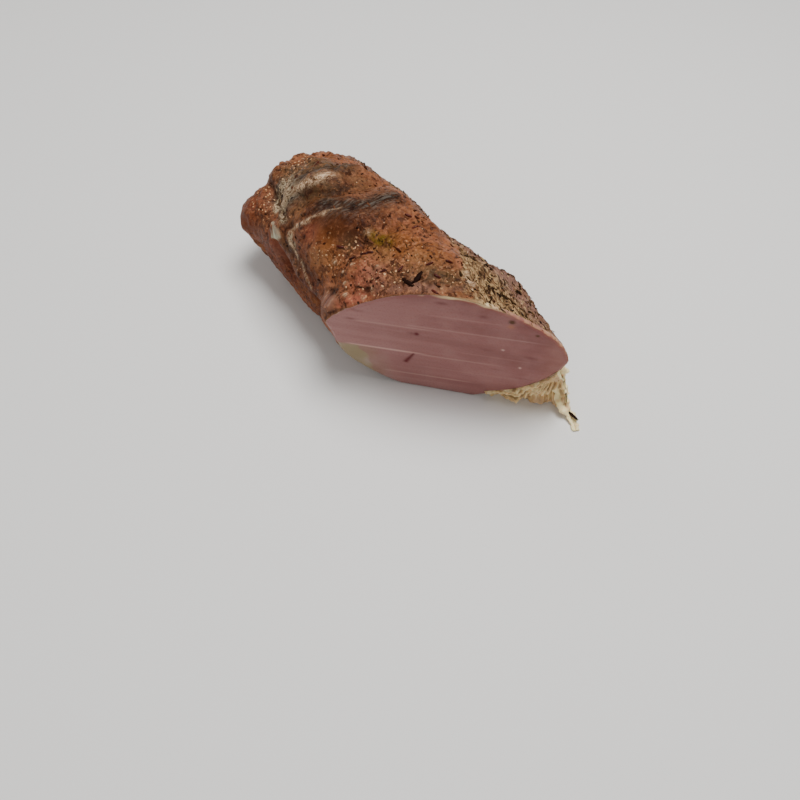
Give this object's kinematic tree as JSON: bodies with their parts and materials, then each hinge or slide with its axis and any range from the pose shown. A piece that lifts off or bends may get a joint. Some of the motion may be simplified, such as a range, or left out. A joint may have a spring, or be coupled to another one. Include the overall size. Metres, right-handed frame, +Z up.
{
  "type": "cooked pork tenderloin piece",
  "caption": "Piece of cooked, cured pork tenderloin in a herb crust, cut across on the slant, with a torn fringe of fat at one corner.",
  "frame": {"origin": "middle of the underside, on the surface it lies on", "axes": "+X along the meat towards its cut end, +Y across it, +Z up"},
  "size_m": [0.1622, 0.0681, 0.0631],
  "materials": {
    "crust": "moist, uneven cooked crust",
    "cut_meat": "smooth moist cut meat",
    "fat": "soft fat and silverskin",
    "herbs": "dry herb flakes and pepper"
  },
  "bodies": {
    "root": {"tenderloin": "crust"}
  },
  "joints": []
}
